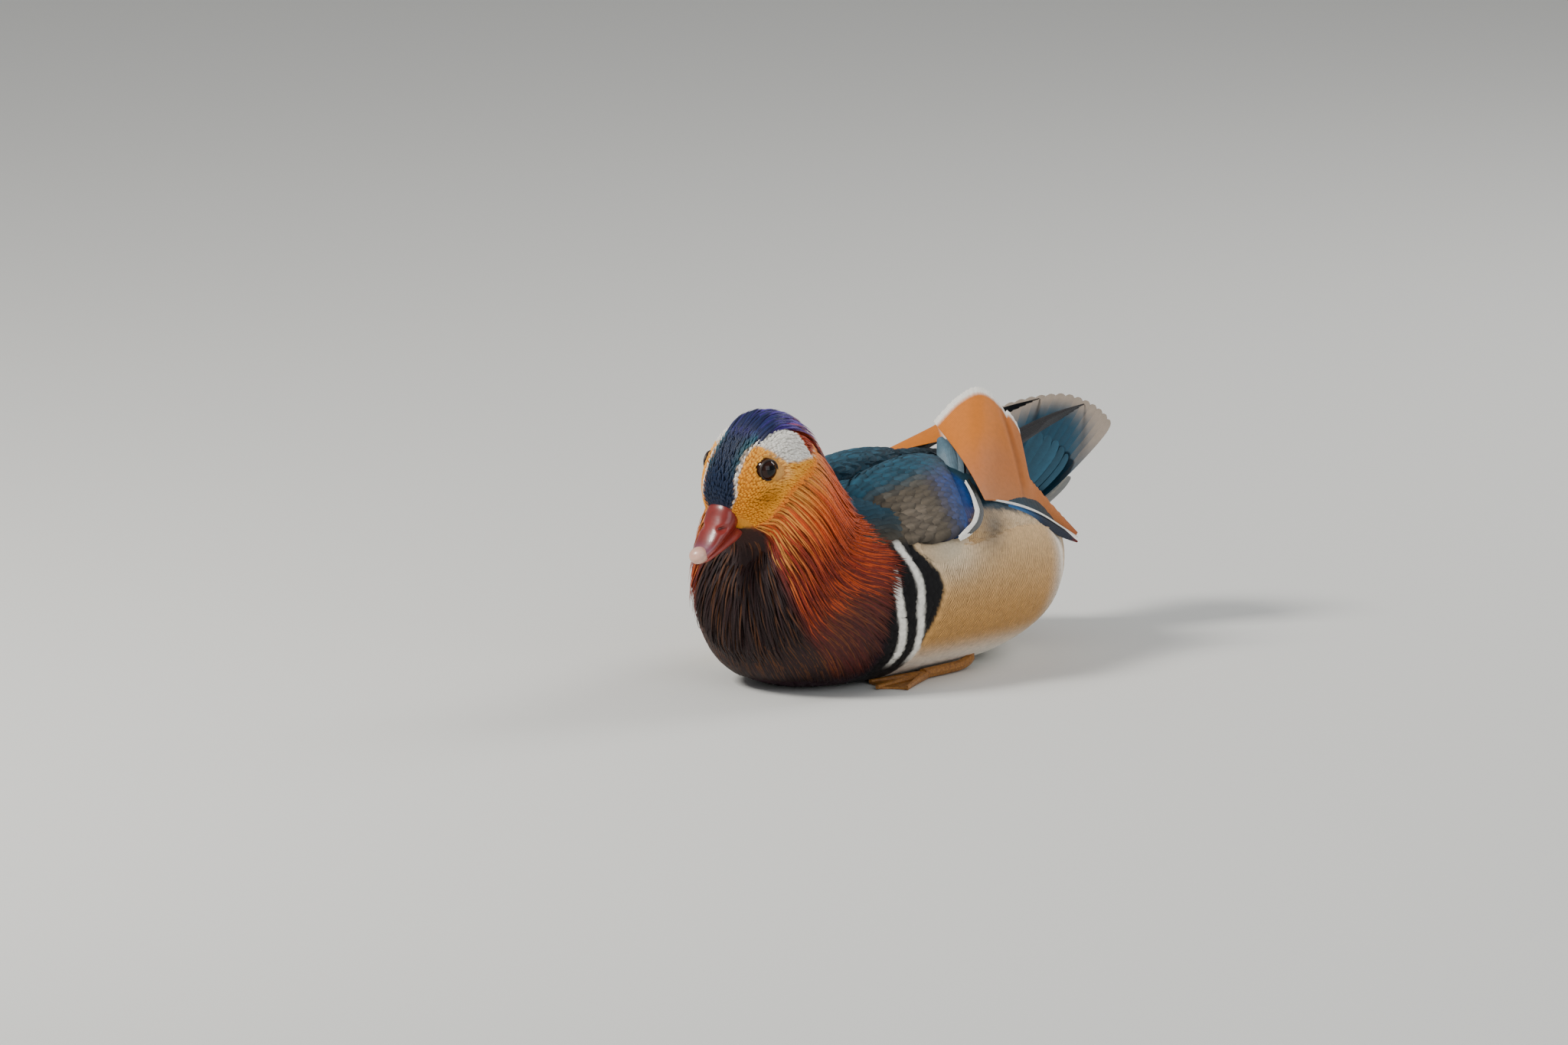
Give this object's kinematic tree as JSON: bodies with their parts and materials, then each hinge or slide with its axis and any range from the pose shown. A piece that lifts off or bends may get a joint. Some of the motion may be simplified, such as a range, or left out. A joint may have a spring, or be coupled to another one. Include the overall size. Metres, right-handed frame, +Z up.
{
  "type": "mandarin duck model",
  "caption": "Life-size drake mandarin duck resting on its belly, head tucked forward, with ruff, crest, raised sail feathers and fanned tail",
  "frame": {"origin": "the middle of the flat of the belly that the bird rests on", "axes": "+Z up, the bird faces -Y, and its left side is +X"},
  "size_m": [0.1462, 0.3251, 0.1542],
  "materials": {
    "head": "soft short feathers",
    "eye_left": "wet dark eye",
    "eye_right": "wet dark eye",
    "bill_upper": "smooth horny bill",
    "bill_lower": "smooth horny bill",
    "crest": "sleek glossy feathers",
    "neck": "long narrow hackles",
    "breast": "dense smooth feathers",
    "torso": "dense barred feathers",
    "tail": "stiff flat feathers",
    "shoulder_left": "broad glossy feathers",
    "wing_left": "stiff flat feathers",
    "sail_left": "one broad stiff feather",
    "foot_left": "webbed skin",
    "shoulder_right": "broad glossy feathers",
    "wing_right": "stiff flat feathers",
    "sail_right": "one broad stiff feather",
    "foot_right": "webbed skin"
  },
  "bodies": {
    "root": {"head": "head", "eye_left": "eye_left", "eye_right": "eye_right", "bill_upper": "bill_upper", "bill_lower": "bill_lower", "crest": "crest", "neck": "neck", "breast": "breast", "torso": "torso", "tail": "tail", "shoulder_left": "shoulder_left", "wing_left": "wing_left", "sail_left": "sail_left", "foot_left": "foot_left", "shoulder_right": "shoulder_right", "wing_right": "wing_right", "sail_right": "sail_right", "foot_right": "foot_right"}
  },
  "joints": []
}
